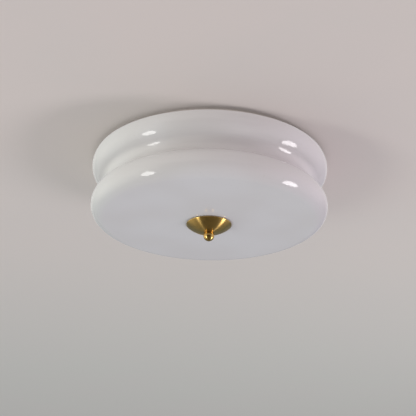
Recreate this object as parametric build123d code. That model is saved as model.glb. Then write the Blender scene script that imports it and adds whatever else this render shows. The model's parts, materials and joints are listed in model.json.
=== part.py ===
"""Flush mount ceiling light: a ribbed opal glass shade on a steel pan, held by a brass cap and ball.

The ceiling is the plane z = 0 and the light hangs below it. +Z points up into the ceiling, the
centre rod is the Z axis, and the two lamps lie beside it along Y. Sizes are in millimetres.
"""
import os
from math import acos, asin, atan, atan2, degrees, hypot, sin, sqrt

from build123d import *

# ---------------------------------------------------------------- clearances
thread_gap = 0.05        # between a screw thread and what it runs in
slip_gap = 0.3           # between pieces that slide or turn past each other
touch_gap = 0.1          # between a loose flat piece and the piece it rests on
hole_gap = 0.3           # a clearance hole's radius over the radius of its screw
cut_overrun = 1.0        # how far a cutting shape stands out of what it cuts

# ---------------------------------------------------------------- screws and nuts
rod_radius = 3.0         # M6 centre rod
rod_nut_flats = 10.0
rod_nut_height = 5.0
rod_washer_radius = 8.0
rod_washer_thickness = 1.2
rod_end_chamfer = 0.5
screw_radius = 2.0       # M4 machine screws
screw_head_radius = 4.0
screw_head_height = 2.6
screw_nut_flats = 7.0
screw_nut_height = 3.2
small_screw_radius = 1.5     # M3 screws of the terminal block
small_head_radius = 2.8
small_head_height = 1.8
head_side_share = 0.45       # straight side of a screw head, as a share of its height
driver_slot_width = 1.0
nut_chamfer = 0.6
screw_overrun = 1.0          # thread that stands out of a nut

# ---------------------------------------------------------------- ceiling strap
strap_width = 20.0
strap_thickness = 2.0
strap_corner = 5.0
strap_slot_spacing = 64.0    # between the centres of the two ceiling screw slots
strap_slot_length = 22.0
strap_slot_width = 5.2
strap_slot_margin = 9.0      # from a slot's end to the tapped hole of the pan screw
strap_end_margin = 13.0      # from that tapped hole to the end of the strap

# ---------------------------------------------------------------- steel pan
pan_depth = 22.0
pan_sheet = 0.8
pan_bend = 2.5               # bend radius at the middle of the sheet
pan_wall_run = 13.0          # how far the sloping wall reaches outward
pan_flange = 8.0             # flat ring against the ceiling
pan_lip = 4.0                # turned-down edge of the flange
deck_margin = 16.1           # from the wire holes to the edge of the flat deck

# ---------------------------------------------------------------- lampholders, E27
lamp_spacing = 90.0          # between the axes of the two lamps
holder_deck_gap = 8.0        # between the pan and the lampholder
holder_wall = 5.7
holder_base_length = 18.0
holder_sleeve_length = 32.0
holder_base_step = 1.5       # how much slimmer the base is than the sleeve
holder_cavity_depth = 9.0
holder_mouth_round = 1.4
sleeve_foot = 1.6            # inward step at the foot of the sleeve, over the contacts
grip_ring_start = 9.6        # from the foot of the sleeve to the first grip ring
grip_ring_step = 6.4
grip_ring_count = 2
grip_ring_width = 1.5
grip_ring_depth = 1.1
shell_wall = 0.5             # brass screw shell
shell_play = 0.45            # between the shell and the bulb's cap
shell_setback = 4.0          # from the mouth of the holder to the shell
shell_foot_gap = 2.4         # from the shell to the step at the foot of the sleeve
contact_thickness = 0.6
contact_width = 6.0
tongue_rise = 3.2            # from the holder's base up to the button of the bulb
side_contact_rise = 5.4
side_contact_lean = 1.0

# ---------------------------------------------------------------- brackets and nipples
bracket_width = 20.0
bracket_sheet = 1.5
bracket_bend = 1.8
bracket_corner = 6.6
bracket_foot = 23.0
bracket_screw_setback = 12.5     # from the riser to the screw in the foot
nipple_radius = 5.0              # M10 hollow thread
nipple_bore = 4.0
nipple_floor_gap = 1.0           # from the nipple's end to the floor of the holder's cavity
nipple_tail = 9.0                # length behind the holder
nipple_nut_flats = 14.0
nipple_nut_height = 3.0

# ---------------------------------------------------------------- bulbs, small globes on E27 caps
globe_radius = 22.5
globe_wall = 1.2
globe_neck_radius = 18.4
collar_length = 17.5
collar_seat_length = 4.5         # straight part of the collar, inside the holder's mouth
collar_bow = 1.2                 # how far the flare bows inward
bulb_cap_radius = 13.2
bulb_thread_pitch = 3.6
bulb_thread_turns = 5
bulb_thread_depth = 0.7
bulb_cap_shoulder = 3.0
bulb_cap_wall = 0.5
insulator_height = 3.7
insulator_tip_radius = 6.0
insulator_step = 1.0             # how much slimmer it is than the root of the cap's thread
contact_radius = 4.6
contact_height = 0.8

# ---------------------------------------------------------------- wiring
wire_radius = 1.1
wire_bend = 6.0
wire_tail_bend = 14.0
wire_hole_setback = 25.0         # from the end of the nipple to the hole in the pan
wire_pair_offset = 2.0           # each wire of a pair from the lamp's axis
wire_grip = 3.5                  # length of wire inside the terminal block
first_lane = 9.5                 # from the block to the nearest wire along it
lane_step = 4.0
lane_turn = {"left": 38.0, "right": 30.0}    # where the wires leave the block's side
lane_join = {"left": 62.0, "right": 42.0}    # where they line up with the hole
grommet_bore = 4.0
grommet_wall = 1.2
grommet_flange = 2.0
grommet_lip = 1.4
grommet_round = 0.45
pole_count = 3
pole_pitch = 9.0
pole_gap = 1.0                   # between the raised poles
pole_rise = 7.5                  # from the pan to the axis of the poles
block_width = 17.0
block_height = 13.0
block_base_width = 10.2
web_width = 8.5                  # low bridge between the poles
web_height = 5.8
block_ear_length = 7.5
block_ear_height = 2.5
block_offset = 36.0              # from the centre rod to the middle of the block
tube_length = 12.0
tube_wall = 0.7
terminal_screw_sink = 1.0        # from the top of the block down to its screws
terminal_slot_width = 0.5
terminal_slot_depth = 0.6
ring_thickness = 0.8
ring_radius = 4.6
barrel_length = 7.0
barrel_wall = 0.5
barrel_gap = 0.8                 # from the eye of the ring to the barrel
barrel_depth = 5.8               # length of wire inside the barrel
tab_length = 3.2                 # flat neck between eye and barrel
tab_overlap = 0.6                # of the neck under the barrel
earth_washer_radius = 4.0
earth_x = -18.0
earth_y = -40.0
earth_wire_drop_end = 16.0       # from the earth screw to where the wire reaches the pan
earth_wire_drop_run = 10.0       # length along which it comes down

# ---------------------------------------------------------------- glass shade
glass_wall = 3.5
rim_gap = 4.0                    # between the ceiling and the rim of the glass
rim_height = 11.0                # from the widest line of the upper rib to the rim
pan_gap = 8.5                    # between the pan's edge and the inside of the upper rib
lower_rib_step = 1.0             # how much slimmer the lower rib is than the upper one
groove_depth = 16.5              # from the lower rib's widest line in to the groove
groove_bend = 10.5               # radius of the hollow between the ribs
corner_radius = 17.5             # where the lower rib turns under
underside_drop = 18.6            # from the lower rib's widest line down to the middle
bulb_room = 12.0                 # free height between the bulbs and the glass
shade_hole_radius = 6.5
bush_gap = 0.2
rubber_washer_radius = 14.0
rubber_washer_thickness = 2.0

# ---------------------------------------------------------------- brass cap and ball
cap_radius = 28.7
cap_sheet = 0.8
cap_rim_height = 0.8             # straight edge next to the glass
cap_drop = 11.6                  # from the cap's rim down to its flat tip
cap_bend = 1.2                   # outer radius where the edge turns into the dome
felt_thickness = 0.8
felt_width = 3.0
felt_setback = 0.3
ball_radius = 6.9
ball_seat_step = 1.0             # how much smaller the flat on the ball is than the ball
ball_end_wall = 2.9              # brass left below the threaded hole
rod_end_gap = 0.5                # between the rod's end and the bottom of that hole
rod_top_gap = 6.0                # between the ceiling strap and the top of the rod

# ---------------------------------------------------------------- levels and places that follow
strap_bottom = -strap_thickness
rod_top = strap_bottom - rod_top_gap
deck_bottom = -pan_depth
deck_top = deck_bottom + pan_sheet
holder_bore = bulb_cap_radius + shell_play + shell_wall + slip_gap / 2
holder_radius = holder_bore + holder_wall
lamp_axis_height = deck_bottom - holder_deck_gap - holder_radius
lamp_axis_offset = lamp_spacing / 2

holder_length = holder_base_length + holder_sleeve_length
shell_length = holder_sleeve_length - sleeve_foot - shell_foot_gap - shell_setback
nipple_entry = holder_base_length - holder_cavity_depth - nipple_floor_gap
bulb_start = holder_base_length + slip_gap + tongue_rise
bulb_cap_start = bulb_start + contact_height + insulator_height
bulb_cap_end = bulb_cap_start + bulb_thread_turns * bulb_thread_pitch + bulb_cap_shoulder
globe_start = bulb_cap_end + collar_length
globe_centre = globe_start + sqrt(globe_radius**2 - globe_neck_radius**2)
bulb_end = globe_centre + globe_radius
lamp_start = -(bulb_end + nipple_tail / 2) / 2
bracket_screw_place = lamp_start - bracket_sheet - bracket_screw_setback
wire_hole_reach = -lamp_start + nipple_tail + wire_hole_setback
grommet_radius = grommet_bore + grommet_wall
deck_radius = hypot(lamp_axis_offset, wire_hole_reach + grommet_radius) + deck_margin
pan_radius = deck_radius + pan_wall_run + pan_flange
pan_screw_reach = strap_slot_spacing / 2 + strap_slot_length / 2 + strap_slot_margin
strap_length = 2 * (pan_screw_reach + strap_end_margin)

pole_height = deck_top + pole_rise
pole_bore = 2 * wire_radius + 3 * thread_gap + tube_wall
block_length = pole_count * pole_pitch
block_ear_reach = block_length / 2 + block_ear_length / 2
block_face = -block_offset - block_width / 2
barrel_outer = wire_radius + thread_gap + barrel_wall
barrel_height = deck_top + barrel_outer
barrel_start = ring_radius + barrel_gap

upper_rib_radius = pan_radius + pan_gap + glass_wall
lower_rib_radius = upper_rib_radius - lower_rib_step
groove_radius = lower_rib_radius - groove_depth
rim_level = -rim_gap
upper_rib_level = rim_level - rim_height
underside_level = lamp_axis_height - globe_radius - bulb_room - glass_wall
lower_rib_level = underside_level + underside_drop
groove_level = (upper_rib_level + lower_rib_level) / 2
glass_floor = underside_level + glass_wall

cap_rim_level = underside_level - touch_gap - felt_thickness
cap_tip_level = cap_rim_level - cap_drop
ball_seat_radius = ball_radius - ball_seat_step
cap_edge_level = cap_rim_level - cap_rim_height
cap_dome_centre = (cap_radius**2 - ball_seat_radius**2 + cap_edge_level**2 - cap_tip_level**2) / (
    2 * (cap_edge_level - cap_tip_level))
cap_dome_radius = hypot(cap_radius, cap_dome_centre - cap_edge_level)
ball_seat_level = cap_tip_level - touch_gap
ball_centre_level = ball_seat_level - sqrt(ball_radius**2 - ball_seat_radius**2)
ball_hole_end = ball_centre_level - ball_radius + ball_end_wall
rod_bottom = ball_hole_end + rod_end_gap
stop_washer_bottom = glass_floor + touch_gap + rubber_washer_thickness + slip_gap


# ---------------------------------------------------------------- shared shapes
def turned(outline):
    """Solid of revolution about Z from a closed outline in the radius-height plane."""
    return revolve(Plane.XZ * make_face(outline), Axis.Z)


def turned_points(*points):
    """Solid of revolution from straight-sided outline points (radius, height)."""
    return turned(Polyline(*points, close=True))


def turned_sheet(points, bend, sheet):
    """Spun sheet metal: a bent centre line in the radius-height plane, thickened both ways."""
    line = FilletPolyline(*points, radius=bend)
    return revolve(Plane.XZ * trace(line, sheet), Axis.Z)


def ring(outer, inner, bottom, top):
    """Flat ring or tube about Z."""
    return turned_points((inner, bottom), (outer, bottom), (outer, top), (inner, top))


def hex_nut(flats, height, bore):
    """Hexagon nut standing on z = 0, its corners turned down on both faces."""
    blank = extrude(RegularPolygon(flats / 2, 6, major_radius=False), height)
    corner = flats / sqrt(3)
    turned_blank = turned_points(
        (0, 0), (corner - nut_chamfer, 0), (corner, nut_chamfer / 2),
        (corner, height - nut_chamfer / 2), (corner - nut_chamfer, height), (0, height))
    return (blank & turned_blank) - Pos(0, 0, height / 2) * Cylinder(bore, 2 * height)


def pan_head_screw(radius, length, head_radius, head_height):
    """Screw with its head below z = 0 and its shank pointing up, with a cross recess."""
    shoulder = head_height * head_side_share
    head = turned(
        [Line((0, 0), (head_radius, 0)), Line((head_radius, 0), (head_radius, -shoulder)),
         EllipticalCenterArc((0, -shoulder), head_radius, head_height - shoulder, 270,
                             arc_size=90),
         Line((0, -head_height), (0, 0))])
    shank = Pos(0, 0, length / 2) * Cylinder(radius, length)
    recess = Pos(0, 0, -head_height) * (
        Box(driver_slot_width, head_radius, head_height)
        + Box(head_radius, driver_slot_width, head_height))
    return (head + shank) - recess


def along_lamp(shape, side):
    """Place a piece made about Z, from the holder's back at z = 0, on the left or right lamp."""
    on_left = Pos(-lamp_axis_offset, lamp_start, lamp_axis_height) * Rot(-90, 0, 0) * shape
    return Rot(0, 0, 0 if side == "left" else 180) * on_left


def on_side(shape, side):
    """A piece made for the left lamp, turned half round for the right one."""
    return Rot(0, 0, 0 if side == "left" else 180) * shape


# ---------------------------------------------------------------- mounting hardware
def mounting_strap():
    """Flat steel bar with two slots for the ceiling screws and two tapped holes for the pan."""
    outline = Rectangle(strap_width, strap_length)
    outline = fillet(outline.vertices(), strap_corner)
    for end in (-1, 1):
        slot = SlotOverall(strap_slot_length, strap_slot_width, rotation=90)
        outline -= Pos(0, end * strap_slot_spacing / 2) * slot
        outline -= Pos(0, end * pan_screw_reach) * Circle(screw_radius + thread_gap)
    return Pos(0, 0, strap_bottom) * extrude(outline, strap_thickness)


def ceiling_pan():
    """Spun pan: a flat deck, a sloping wall and a flange with a turned-down lip."""
    middle = pan_sheet / 2
    pan = turned_sheet(
        [(0, deck_bottom + middle), (deck_radius, deck_bottom + middle),
         (deck_radius + pan_wall_run, -middle), (pan_radius - middle, -middle),
         (pan_radius - middle, -pan_lip)], pan_bend, pan_sheet)
    holes = [Pos(0, 0, 0) * Cylinder(rod_radius + hole_gap, 4 * pan_depth)]
    screw_hole = Cylinder(screw_radius + hole_gap, 4 * pan_depth)
    wire_hole = Cylinder(grommet_radius, 4 * pan_depth)
    for side in ("left", "right"):
        holes.append(on_side(Pos(0, -pan_screw_reach, 0) * screw_hole, side))
        holes.append(on_side(Pos(-lamp_axis_offset, bracket_screw_place, 0) * screw_hole, side))
        holes.append(on_side(Pos(-lamp_axis_offset, -wire_hole_reach, 0) * wire_hole, side))
    holes.append(Pos(earth_x, earth_y, 0) * screw_hole)
    for end in (-1, 1):
        block_hole = Cylinder(small_screw_radius + thread_gap, 4 * pan_depth)
        holes.append(Pos(-block_offset, end * block_ear_reach, 0) * block_hole)
    return pan - holes


def pan_screws():
    """Two long screws that hold the pan up against the strap."""
    length = -deck_bottom - touch_gap
    screw = pan_head_screw(screw_radius, length, screw_head_radius, screw_head_height)
    screw = Pos(0, -pan_screw_reach, deck_bottom) * screw
    return Compound([on_side(screw, side) for side in ("left", "right")])


def centre_rod():
    """Threaded rod that carries the glass."""
    length = rod_top - rod_bottom
    rod = Cylinder(rod_radius, length)
    rod = chamfer(rod.edges().filter_by(GeomType.CIRCLE), rod_end_chamfer)
    return Pos(0, 0, rod_bottom + length / 2) * rod


def rod_washer_at(bottom):
    """Steel washer on the rod."""
    return ring(rod_washer_radius, rod_radius + hole_gap, bottom, bottom + rod_washer_thickness)


def rod_nut_at(bottom):
    """Steel nut on the rod."""
    return Pos(0, 0, bottom) * hex_nut(rod_nut_flats, rod_nut_height, rod_radius + thread_gap)


# ---------------------------------------------------------------- lampholders
def bracket():
    """Bent steel angle: its foot under the pan, its riser behind the left lampholder."""
    middle = bracket_sheet / 2
    riser_y = lamp_start - middle
    foot_y = lamp_start - bracket_foot
    riser_end = lamp_axis_height - bracket_width / 2
    line = FilletPolyline(
        (foot_y, deck_bottom - middle), (riser_y, deck_bottom - middle), (riser_y, riser_end),
        radius=bracket_bend)
    angle = extrude(Plane.YZ * trace(line, bracket_sheet), bracket_width / 2, both=True)
    foot_corners = angle.edges().filter_by(Axis.Z).group_by(Axis.Y)[0]
    riser_corners = angle.edges().filter_by(Axis.Y).group_by(Axis.Z)[0]
    angle = fillet(foot_corners + riser_corners, bracket_corner)
    through = Rot(90, 0, 0) * Cylinder(nipple_radius + thread_gap, 4 * bracket_width)
    angle -= Pos(0, riser_y, lamp_axis_height) * through
    angle -= Pos(0, bracket_screw_place, 0) * Cylinder(screw_radius + hole_gap, 4 * pan_depth)
    return Pos(-lamp_axis_offset, 0, 0) * angle


def bracket_screws():
    """One screw from below through each bracket's foot."""
    foot_bottom = deck_bottom - bracket_sheet
    length = deck_top + screw_nut_height - foot_bottom + screw_overrun
    screw = pan_head_screw(screw_radius, length, screw_head_radius, screw_head_height)
    screw = Pos(-lamp_axis_offset, bracket_screw_place, foot_bottom) * screw
    return Compound([on_side(screw, side) for side in ("left", "right")])


def bracket_nuts():
    """The nuts of those screws, on top of the pan."""
    nut = hex_nut(screw_nut_flats, screw_nut_height, screw_radius + thread_gap)
    nut = Pos(-lamp_axis_offset, bracket_screw_place, deck_top) * nut
    return Compound([on_side(nut, side) for side in ("left", "right")])


def nipple():
    """Hollow threaded tube that joins a holder to its bracket and lets the wires in."""
    return ring(nipple_radius, nipple_bore, -nipple_tail, nipple_entry)


def nipple_nut():
    """Thin nut behind the bracket's riser."""
    nut = hex_nut(nipple_nut_flats, nipple_nut_height, nipple_radius + thread_gap)
    return Pos(0, 0, -bracket_sheet - nipple_nut_height) * nut


def holder_base():
    """White moulded cup at the back of the holder, tapped for the nipple."""
    outer = holder_radius - holder_base_step
    floor = holder_base_length - holder_cavity_depth
    cavity = holder_bore - holder_base_step
    entry = nipple_radius + thread_gap
    cup = turned_points(
        (entry, 0), (outer, 0), (outer, holder_base_length), (cavity, holder_base_length),
        (cavity, floor), (entry, floor))
    rear_edge = cup.edges().filter_by(GeomType.CIRCLE).group_by(Axis.Z)[0].sort_by(SortBy.RADIUS)[-1]
    return fillet(rear_edge, holder_base_step)


def holder_sleeve():
    """White moulded sleeve round the brass shell, with a rounded mouth and two grip rings."""
    floor = holder_base_length + sleeve_foot
    sleeve = turned_points(
        (holder_bore - holder_base_step, holder_base_length), (holder_radius, holder_base_length),
        (holder_radius, holder_length), (holder_bore, holder_length), (holder_bore, floor),
        (holder_bore - holder_base_step, floor))
    mouth = sleeve.edges().filter_by(GeomType.CIRCLE).group_by(Axis.Z)[-1]
    sleeve = fillet(mouth, holder_mouth_round)
    for index in range(grip_ring_count):
        level = holder_base_length + grip_ring_start + index * grip_ring_step
        sleeve -= ring(holder_radius + cut_overrun, holder_radius - grip_ring_depth,
                       level, level + grip_ring_width)
    return sleeve


def holder_shell():
    """Brass screw shell that takes the bulb's cap."""
    outer = holder_bore - slip_gap / 2
    end = holder_length - shell_setback
    return ring(outer, outer - shell_wall, end - shell_length, end)


def contact_strip(points):
    """Bent metal strip, drawn through points (sideways, along the lamp)."""
    line = FilletPolyline(*points, radius=contact_thickness)
    return extrude(Plane.XZ * trace(line, contact_thickness), contact_width / 2, both=True)


def holder_contacts():
    """Two clamps that take the wires, with the sprung centre tongue and the side contact."""
    clamp_start = holder_base_length - holder_cavity_depth + 2 * slip_gap
    clamp_height = holder_base_length - clamp_start
    clamp_middle = wire_pair_offset + wire_radius + thread_gap
    clamp = Box(contact_width, contact_width, clamp_height)
    seat = holder_base_length + contact_thickness / 2
    tongue = contact_strip(
        [(clamp_middle + contact_width / 2, seat), (wire_radius / 2, seat),
         (-contact_width / 2, bulb_start - slip_gap - contact_thickness)])
    side_reach = holder_bore - holder_base_step - 2 * contact_thickness
    side_contact = contact_strip(
        [(-clamp_middle, seat), (-side_reach, seat), (-side_reach, seat + side_contact_rise / 3),
         (-side_reach - side_contact_lean, seat + side_contact_rise)])
    halves = []
    for sign, strip in ((1, tongue), (-1, side_contact)):
        place = Pos(sign * clamp_middle, 0, clamp_start + clamp_height / 2)
        halves.append(place * clamp + strip)
    return Compound(halves)


# ---------------------------------------------------------------- bulbs
def bulb_contact():
    """Solder button at the foot of the bulb."""
    button = Pos(0, 0, bulb_start + contact_height / 2) * Cylinder(contact_radius, contact_height)
    return fillet(button.edges().group_by(Axis.Z)[0], contact_height / 3)


def bulb_insulator():
    """Dark glass ring between the button and the screw cap."""
    start = bulb_start + contact_height
    root = bulb_cap_radius - bulb_thread_depth - insulator_step
    return turned_points(
        (0, start), (insulator_tip_radius, start), (root, bulb_cap_start), (0, bulb_cap_start))


def bulb_cap():
    """Thin screw cap with its rolled thread drawn as rings of the same pitch."""
    root = bulb_cap_radius - bulb_thread_depth
    thread_end = bulb_cap_start + bulb_thread_turns * bulb_thread_pitch
    outline = [Line((0, bulb_cap_start), (root, bulb_cap_start))]
    for turn in range(bulb_thread_turns):
        foot = bulb_cap_start + turn * bulb_thread_pitch
        crest = (bulb_cap_radius, foot + bulb_thread_pitch / 2)
        outline.append(ThreePointArc((root, foot), crest, (root, foot + bulb_thread_pitch)))
    outline.append(Polyline((root, thread_end), (bulb_cap_radius, thread_end),
                            (bulb_cap_radius, bulb_cap_end), (0, bulb_cap_end), (0, bulb_cap_start)))
    inside = ring(root - bulb_cap_wall, 0, bulb_cap_start + bulb_cap_wall, bulb_cap_end)
    return turned(outline) - inside


def bulb_collar():
    """White body between the screw cap and the globe."""
    seat_end = bulb_cap_end + collar_seat_length
    flare = SagittaArc((bulb_cap_radius, seat_end), (globe_neck_radius, globe_start), collar_bow)
    return turned(
        [Polyline((0, globe_start), (0, bulb_cap_end), (bulb_cap_radius, bulb_cap_end),
                  (bulb_cap_radius, seat_end)), flare,
         Line((globe_neck_radius, globe_start), (0, globe_start))])


def bulb_globe():
    """Opal globe, open where it sits on the collar."""
    globe = Pos(0, 0, globe_centre) * (Sphere(globe_radius) - Sphere(globe_radius - globe_wall))
    return split(globe, Plane.XY.offset(globe_start), keep=Keep.TOP)


# ---------------------------------------------------------------- wiring
def pole_y(index):
    """Where a pole of the terminal block lies along Y; pole 0 is live, 1 earth, 2 neutral."""
    return (index - (pole_count - 1) / 2) * pole_pitch


def terminal_block():
    """Nylon strip connector: three bored poles on a base with two ears."""
    base = Pos(0, 0, block_ear_height / 2) * Box(
        block_base_width, block_length + 2 * block_ear_length, block_ear_height)
    block = base
    for index in range(pole_count):
        pole = Box(block_width, pole_pitch - pole_gap, block_height)
        block += Pos(0, pole_y(index), block_height / 2) * pole
        bore = Rot(0, 90, 0) * Cylinder(pole_bore, 2 * block_width)
        block -= Pos(0, pole_y(index), pole_rise) * bore
        for end in (-1, 1):
            well = Cylinder(small_screw_radius + slip_gap, block_height)
            block -= Pos(end * tube_length / 4, pole_y(index), block_height) * well
    web = Box(web_width, block_length - pole_pitch, web_height)
    bores = [Pos(0, pole_y(index), pole_rise) * Rot(0, 90, 0)
             * Cylinder(pole_bore, 2 * block_width) for index in range(pole_count)]
    block += Pos(0, 0, web_height / 2) * web - bores
    for end in (-1, 1):
        block -= Pos(0, end * block_ear_reach, 0) * Cylinder(small_screw_radius + hole_gap, block_height)
    return Pos(-block_offset, 0, deck_top) * block


def terminal_tubes():
    """Brass tube in each pole."""
    outer = pole_bore - thread_gap
    tube = Cylinder(outer, tube_length) - Cylinder(outer - tube_wall, tube_length)
    tube -= [Pos(-outer, 0, end * tube_length / 4) * Rot(0, 90, 0)
             * Cylinder(small_screw_radius + thread_gap, 2 * outer) for end in (-1, 1)]
    tube = Rot(0, 90, 0) * tube
    return Compound([Pos(-block_offset, pole_y(index), pole_height) * tube
                     for index in range(pole_count)])


def terminal_screws():
    """Slotted clamping screws of the block, two to a pole."""
    bottom = pole_height + wire_radius / 2
    height = deck_top + block_height - terminal_screw_sink - bottom
    screw = Pos(0, 0, height / 2) * Cylinder(small_screw_radius, height)
    screw -= Pos(0, 0, height) * Box(
        2 * small_screw_radius, terminal_slot_width, 2 * terminal_slot_depth)
    return Compound([Pos(-block_offset + end * tube_length / 4, pole_y(index), bottom) * screw
                     for index in range(pole_count) for end in (-1, 1)])


def block_screws():
    """Two short screws that hold the block's ears to the pan."""
    ear_top = deck_top + block_ear_height
    length = block_ear_height + pan_sheet + 2 * screw_overrun
    screw = pan_head_screw(small_screw_radius, length, small_head_radius, small_head_height)
    screw = Rot(180, 0, 0) * screw
    return Compound([Pos(-block_offset, end * block_ear_reach, ear_top) * screw for end in (-1, 1)])


def grommet():
    """Rubber grommet in the pan's wire hole, on the left lamp's side."""
    flange = grommet_radius + grommet_flange
    top = deck_top + grommet_lip
    bottom = deck_bottom - grommet_lip
    body = turned_points(
        (grommet_bore, bottom), (flange, bottom), (flange, deck_bottom), (grommet_radius, deck_bottom),
        (grommet_radius, deck_top), (flange, deck_top), (flange, top), (grommet_bore, top))
    rims = body.edges().filter_by(GeomType.CIRCLE).group_by(Axis.Z)
    return Pos(-lamp_axis_offset, -wire_hole_reach, 0) * fillet(rims[0] + rims[-1], grommet_round)


def wire(points, bends):
    """Insulated wire: straight runs joined by tangent arcs."""
    path = FilletPolyline(*points, radius=bends)
    section = Plane(path @ 0, z_dir=path % 0) * Circle(wire_radius)
    return sweep(section, path)


def lamp_wire(side, pole):
    """Wire from a pole of the block, over the pan and through grommet and nipple, to a holder."""
    sign = -1 if side == "left" else 1
    is_live = pole == 0
    across = wire_pair_offset if is_live else -wire_pair_offset
    level = pole_height + sign * (wire_radius + thread_gap)
    lane_x = block_face - first_lane - lane_step * (1 + sign * is_live)
    outer_lane = lane_step * (is_live and side == "right")
    turn_y = sign * lane_turn[side] + outer_lane
    join_y = sign * lane_join[side] + outer_lane
    hole_x = sign * (lamp_axis_offset - across)
    hole_y = sign * wire_hole_reach
    end_y = -sign * (lamp_start + holder_base_length - holder_cavity_depth + slip_gap)
    points = [
        (block_face + wire_grip, pole_y(pole), level), (lane_x, pole_y(pole), level),
        (lane_x, turn_y, level), (hole_x, join_y, level), (hole_x, hole_y, level),
        (hole_x, hole_y, lamp_axis_height), (hole_x, end_y, lamp_axis_height)]
    return wire(points, [wire_bend] * 4 + [wire_tail_bend])


def earth_wire():
    """Wire from the middle pole down to the ring terminal on the pan."""
    points = [
        (-block_offset + block_width / 2 - wire_grip, 0, pole_height), (earth_x, 0, pole_height),
        (earth_x, earth_y + earth_wire_drop_end + earth_wire_drop_run, pole_height),
        (earth_x, earth_y + earth_wire_drop_end, barrel_height),
        (earth_x, earth_y + barrel_start + barrel_length - barrel_depth, barrel_height)]
    return wire(points, [wire_bend, wire_bend / 2, wire_bend / 2])


def earth_ring():
    """Ring terminal: a flat eye on the pan and the barrel round the wire."""
    eye = extrude(Circle(ring_radius) - Circle(screw_radius + hole_gap), ring_thickness)
    barrel = Cylinder(barrel_outer, barrel_length) - Cylinder(wire_radius + thread_gap, barrel_length)
    barrel = Pos(0, barrel_start + barrel_length / 2, barrel_outer) * Rot(90, 0, 0) * barrel
    tab = Box(barrel_outer, tab_length, ring_thickness)
    tab = Pos(0, barrel_start + tab_overlap - tab_length / 2, ring_thickness / 2) * tab
    return Pos(earth_x, earth_y, deck_top) * (eye + tab + barrel)


def earth_washer():
    """Washer under the head of the earth screw."""
    bottom = deck_top + ring_thickness
    washer = ring(earth_washer_radius, screw_radius + hole_gap, bottom, bottom + ring_thickness)
    return Pos(earth_x, earth_y, 0) * washer


def earth_screw():
    """Brass screw from above through the ring terminal and the pan."""
    head_bottom = deck_top + 2 * ring_thickness
    length = 2 * ring_thickness + pan_sheet + screw_nut_height + screw_overrun
    screw = pan_head_screw(screw_radius, length, screw_head_radius, screw_head_height)
    return Pos(earth_x, earth_y, head_bottom) * Rot(180, 0, 0) * screw


def earth_nut():
    """Brass nut under the pan."""
    nut = hex_nut(screw_nut_flats, screw_nut_height, screw_radius + thread_gap)
    return Pos(earth_x, earth_y, deck_bottom - screw_nut_height) * nut


# ---------------------------------------------------------------- glass shade
def rib(rib_radius):
    """Round-over radius and half angle of a rib that runs into the groove in a tangent arc."""
    rise = (upper_rib_level - lower_rib_level) / 2
    depth = rib_radius - groove_radius
    angle = 2 * atan(depth / rise)
    return rise / sin(angle) - groove_bend, angle


def shade_wall(inset):
    """Arcs of the glass from rim to centre: its outside, or the inside at an inset of the wall."""
    upper_round, upper_angle = rib(upper_rib_radius)
    lower_round, lower_angle = rib(lower_rib_radius)
    rim_angle = asin((rim_height - glass_wall / 2) / upper_round)
    corner_reach = lower_rib_radius - corner_radius
    crown_radius = (corner_reach**2 + underside_drop**2 - corner_radius**2) / (
        2 * (underside_drop - corner_radius))
    crown_centre = underside_level + crown_radius
    corner_end = atan2(lower_rib_level - crown_centre, corner_reach)
    return [
        CenterArc((upper_rib_radius - upper_round, upper_rib_level), upper_round - inset,
                  degrees(rim_angle), -degrees(rim_angle + upper_angle)),
        CenterArc((groove_radius + groove_bend, groove_level), groove_bend + inset,
                  180 - degrees(upper_angle), degrees(upper_angle + lower_angle)),
        CenterArc((lower_rib_radius - lower_round, lower_rib_level), lower_round - inset,
                  degrees(lower_angle), -degrees(lower_angle)),
        CenterArc((corner_reach, lower_rib_level), corner_radius - inset, 0, degrees(corner_end)),
        CenterArc((0, crown_centre), crown_radius - inset,
                  degrees(corner_end), -90 - degrees(corner_end))]


def glass_shade():
    """Blown opal glass: two ribs, a crowned underside, a round rim and a hole for the rod."""
    outside = shade_wall(0)
    inside = shade_wall(glass_wall)
    outer_rim, inner_rim = outside[0] @ 0, inside[0] @ 0
    rim_tip = (outer_rim + inner_rim) / 2 - (outside[0] % 0) * glass_wall / 2
    middle = Line(outside[-1] @ 1, inside[-1] @ 1)
    rim = ThreePointArc(inner_rim, rim_tip, outer_rim)
    shade = turned(outside + [middle] + inside + [rim])
    return shade - Pos(0, 0, underside_level) * Cylinder(shade_hole_radius, 4 * glass_wall)


def hole_bush():
    """Rubber bush that keeps the rod off the edge of the glass."""
    return ring(shade_hole_radius - bush_gap, rod_radius + hole_gap,
                underside_level + touch_gap, glass_floor - touch_gap)


def inner_rubber_washer():
    """Soft washer on the glass, under the steel washer and stop nut."""
    bottom = glass_floor + touch_gap
    return ring(rubber_washer_radius, rod_radius + hole_gap,
                bottom, bottom + rubber_washer_thickness)


# ---------------------------------------------------------------- brass cap and ball
def cap_wall(inset):
    """The cap from rim to hole: its outside, or the inside at an inset of the sheet."""
    radius = cap_dome_radius - inset
    edge_angle = -acos((cap_radius - inset) / radius)
    tip_angle = asin((cap_tip_level + inset - cap_dome_centre) / radius)
    dome = CenterArc((0, cap_dome_centre), radius, degrees(edge_angle),
                     degrees(tip_angle - edge_angle))
    edge = Line((cap_radius - inset, cap_rim_level), dome @ 0)
    tip = Line(dome @ 1, (rod_radius + hole_gap, cap_tip_level + inset))
    return [edge, dome, tip]


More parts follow.
